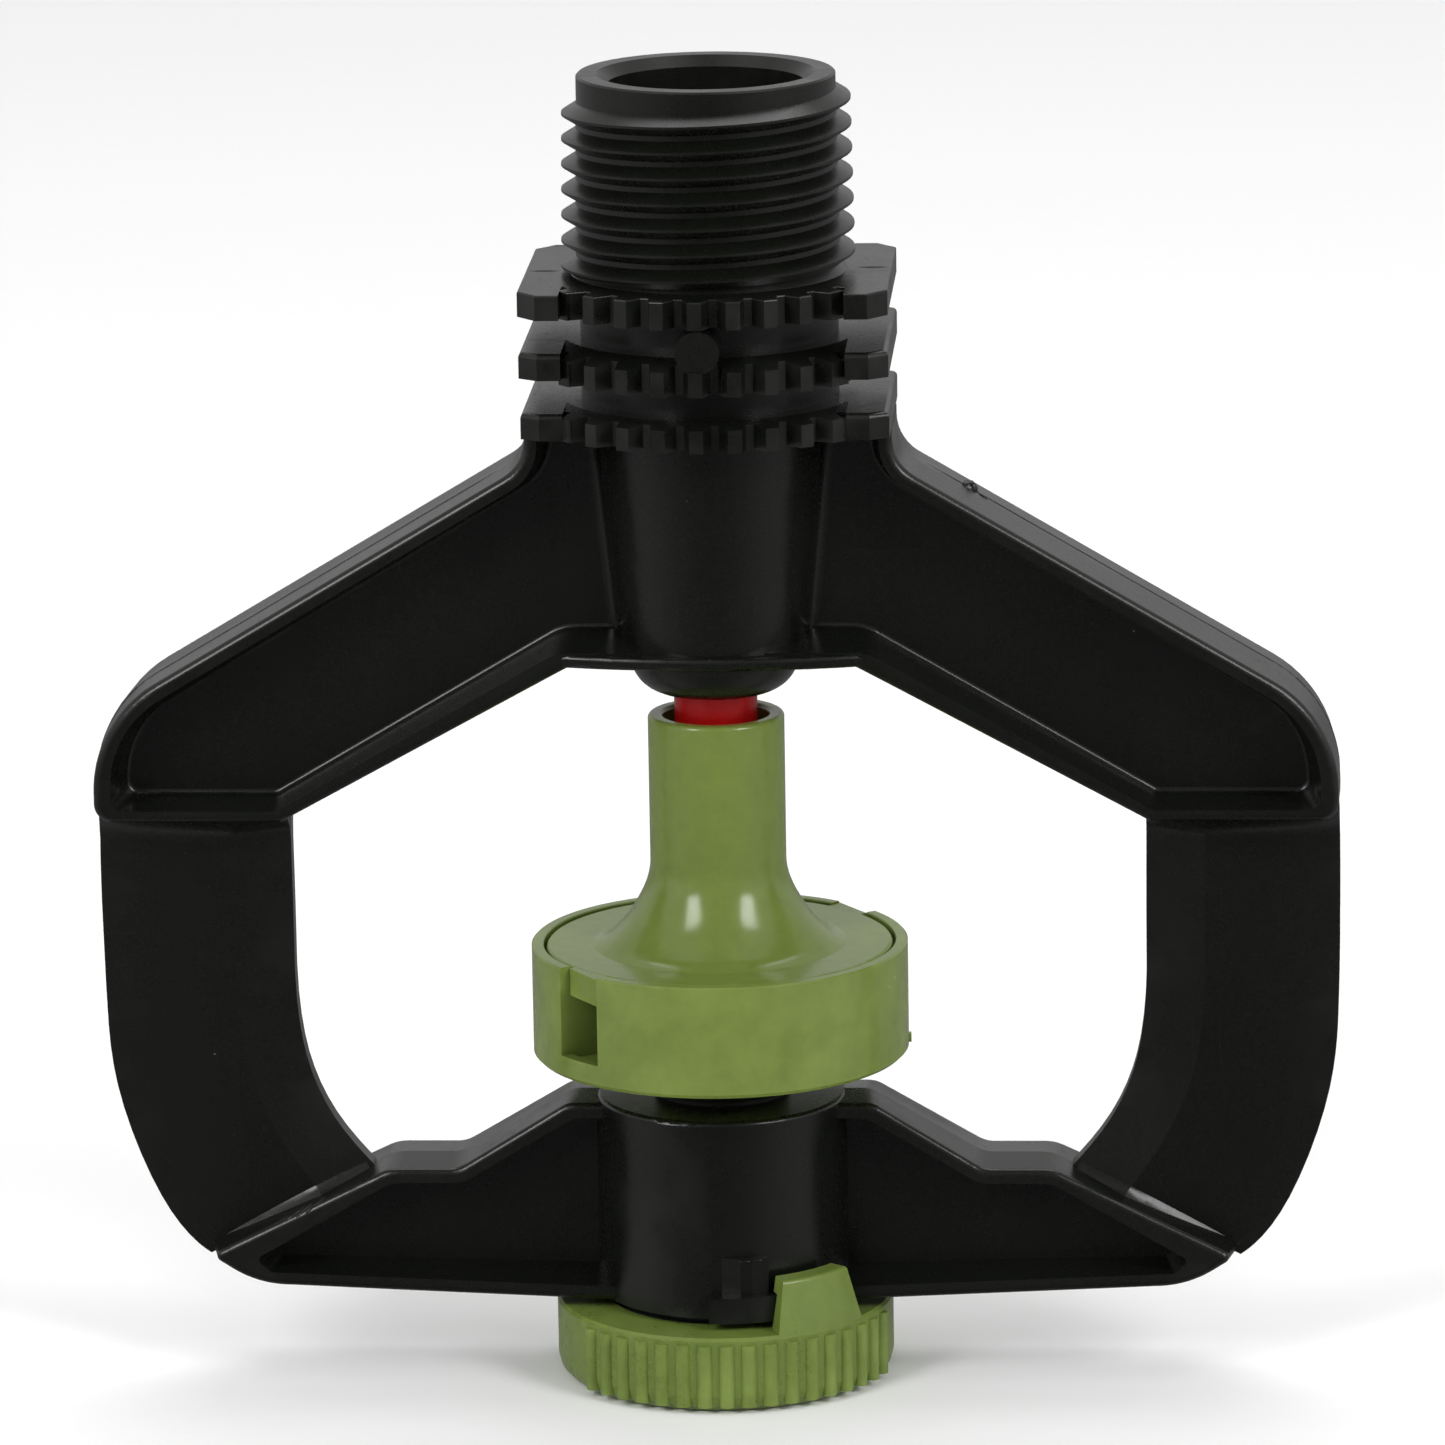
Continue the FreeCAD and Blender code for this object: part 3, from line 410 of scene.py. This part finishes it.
for p_, c_ in ((0.485, 0.15), (0.53, 0.34), (0.66, 0.36), (0.78, 0.26)):
    e_ = el.new(p_)
    e_.color = (c_, c_, c_, 1)
wt.links.new(wr.outputs["Result"], wramp.inputs["Fac"])


def wmath(op, a, b=None):
    n = wt.nodes.new("ShaderNodeMath")
    n.operation = op
    for i, v in enumerate((a, b)):
        if v is None:
            continue
        if isinstance(v, (int, float)):
            n.inputs[i].default_value = v
        else:
            wt.links.new(v, n.inputs[i])
    return n.outputs[0]


# the room is dark behind the camera, palest at the sides and fairly pale behind the object
xx = wmath("MULTIPLY", ws.outputs["X"], ws.outputs["X"])
yy = wmath("MULTIPLY", ws.outputs["Y"], ws.outputs["Y"])
front = wmath("DIVIDE", wmath("MULTIPLY", ws.outputs["Y"], -1.0), wmath("SQRT", wmath("ADD", wmath("ADD", xx, yy), 0.0001)))
sramp = wt.nodes.new("ShaderNodeValToRGB")
sel = sramp.color_ramp.elements
sel[0].position, sel[0].color = 0.0, (0.68, 0.68, 0.68, 1)
sel[1].position, sel[1].color = 1.0, (0.24, 0.24, 0.24, 1)
for p_, c_ in ((0.40, 0.90), (0.66, 0.95), (0.82, 0.70), (0.94, 0.40)):
    e_ = sel.new(p_)
    e_.color = (c_, c_, c_, 1)
wt.links.new(wmath("ADD", wmath("MULTIPLY", front, 0.5), 0.5), sramp.inputs["Fac"])
wmul = wt.nodes.new("ShaderNodeMix")
wmul.data_type = "RGBA"
wmul.blend_type = "MULTIPLY"
wmul.inputs[0].default_value = 1.0
wt.links.new(wramp.outputs["Color"], wmul.inputs[6])
wt.links.new(sramp.outputs["Color"], wmul.inputs[7])
wt.links.new(wmul.outputs[2], bg.inputs["Color"])
bg.inputs["Strength"].default_value = 2.3
sc.world = w


def softbox(name, az, elev, dist, size, radiance, target=(0, 0, 0.045)):
    """Rectangular soft light; az in degrees from the camera side (-Y) towards +X, radiance in scene units."""
    li = bpy.data.lights.new(name, "AREA")
    li.shape = "RECTANGLE"
    li.size, li.size_y = size
    li.energy = radiance * math.pi * size[0] * size[1] * 4.0 / 4.0
    ob = bpy.data.objects.new(name, li)
    sc.collection.objects.link(ob)
    a_, e_ = math.radians(az), math.radians(elev)
    ob.location = Vector(target) + dist * Vector((math.sin(a_) * math.cos(e_), -math.cos(a_) * math.cos(e_), math.sin(e_)))
    ob.rotation_euler = (Vector(target) - ob.location).to_track_quat("-Z", "Y").to_euler()
    ob.visible_camera = False
    return ob


softbox("key_left", -38.5, 33, 1.0, (0.31, 0.42), 9.5)
softbox("key_right", 50.5, 33, 1.0, (0.31, 0.42), 9.5)
softbox("top", 176.5, 68, 1.1, (0.9, 0.6), 2.4)
fill = softbox("fill", 10, 62, 2.0, (2.4, 1.8), 0.38)
fill.visible_glossy = False
# a low fill from behind lightens the shadow that runs forward from the cap
fill_b = softbox("fill_back", 176.5, 35, 2.0, (2.4, 1.2), 0.35)
fill_b.visible_glossy = False

cam_d = bpy.data.cameras.new("camera")
cam = bpy.data.objects.new("camera", cam_d)
sc.collection.objects.link(cam)
yaw = math.radians(-3.5)
pos = Vector((0.457, -594.53, 191.36)) * MM
pitch, roll = 0.2363, -0.0164
R = Matrix.Rotation(-yaw, 4, "Z")
# looking along +Y, tipped down by pitch, rolled about the line of sight
M = Matrix.Rotation(math.pi / 2 - pitch, 4, "X") @ Matrix.Rotation(roll, 4, "Z")
cam.matrix_world = R @ Matrix.Translation(pos) @ M
cam_d.sensor_width = 36.0
cam_d.lens = 8500.8 / 1445 * 36.0
cam_d.clip_start = 0.01
cam_d.clip_end = 20
sc.camera = cam
sc.view_settings.view_transform = "Standard"
